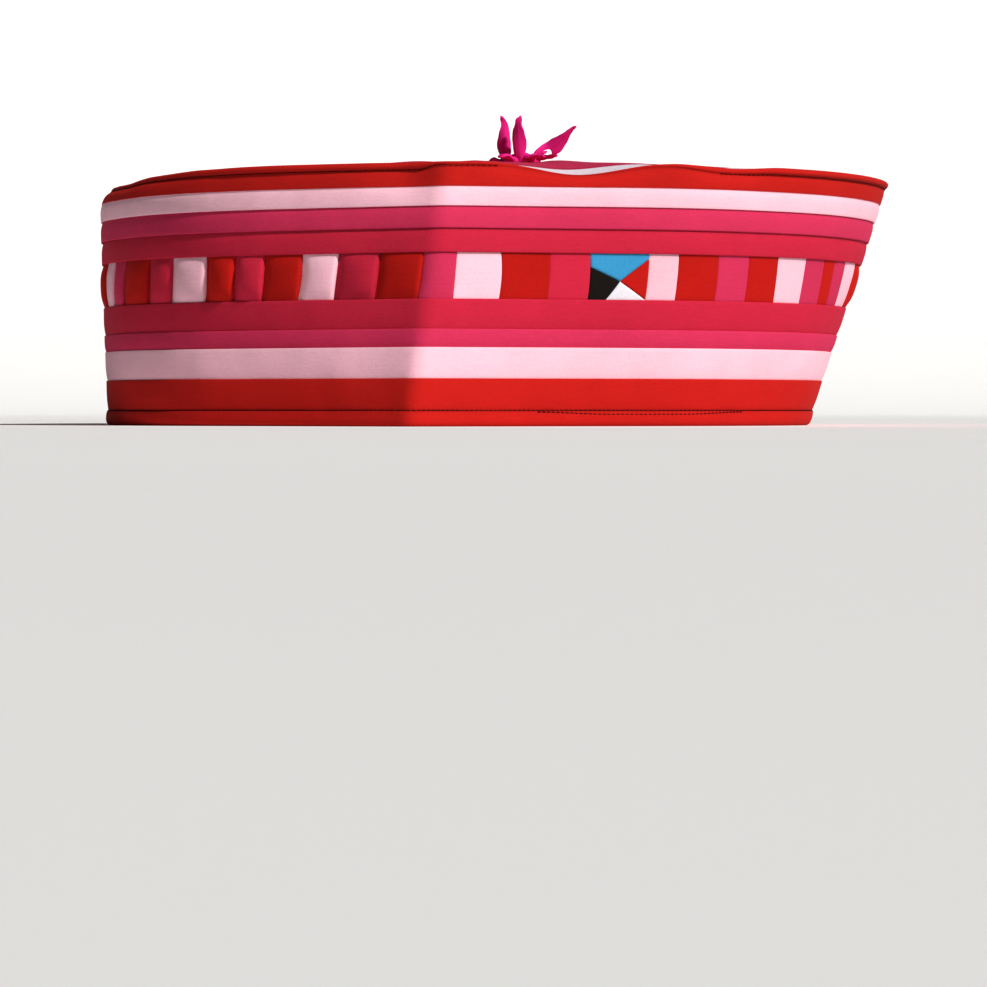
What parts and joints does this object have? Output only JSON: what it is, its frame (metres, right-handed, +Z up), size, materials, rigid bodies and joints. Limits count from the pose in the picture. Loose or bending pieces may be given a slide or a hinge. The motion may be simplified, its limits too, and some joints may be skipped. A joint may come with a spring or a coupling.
{
  "type": "taqiyah cap",
  "caption": "Soft round pillbox cap of sewn cloth strips with a creased front, a band of small patches, a low gathered crown and a tuft of cloth petals.",
  "frame": {"origin": "on the surface that the hem stands on, below the middle of the cap's plan", "axes": "+Z up through the crown, -Y towards the creased front, +X to the side that the crown leans to"},
  "size_m": [0.2074, 0.195, 0.0816],
  "materials": {
    "red": "plain-woven cotton, soft low sheen",
    "light_pink": "plain-woven cotton, soft low sheen",
    "magenta": "plain-woven cotton, soft low sheen",
    "crimson": "plain-woven cotton, soft low sheen",
    "patch_red": "plain-woven cotton, soft low sheen",
    "blue": "plain-woven cotton, soft low sheen",
    "black": "plain-woven cotton, matte",
    "white": "plain-woven cotton, matte",
    "pale_pink": "plain-woven cotton, matte",
    "hot_pink": "plain-woven cotton, soft low sheen",
    "backing": "coarse plain-woven cotton, matte"
  },
  "bodies": {
    "root": {"hem_binding": "red", "inner_band": "backing", "red_strip_lower": "red", "light_pink_strip_lower": "light_pink", "magenta_strip_lower": "magenta", "crimson_strip_lower": "crimson", "patchwork_band": "patch_red", "block_blue_triangle": "blue", "block_black_triangle": "black", "block_red_triangle": "patch_red", "block_white_triangle": "white", "crimson_strip_upper": "crimson", "magenta_strip_upper": "magenta", "light_pink_strip_upper": "light_pink", "red_strip_upper": "red", "top_binding": "red", "crown_pale_ring": "pale_pink", "crown_centre": "magenta", "tuft": "hot_pink"}
  },
  "joints": []
}
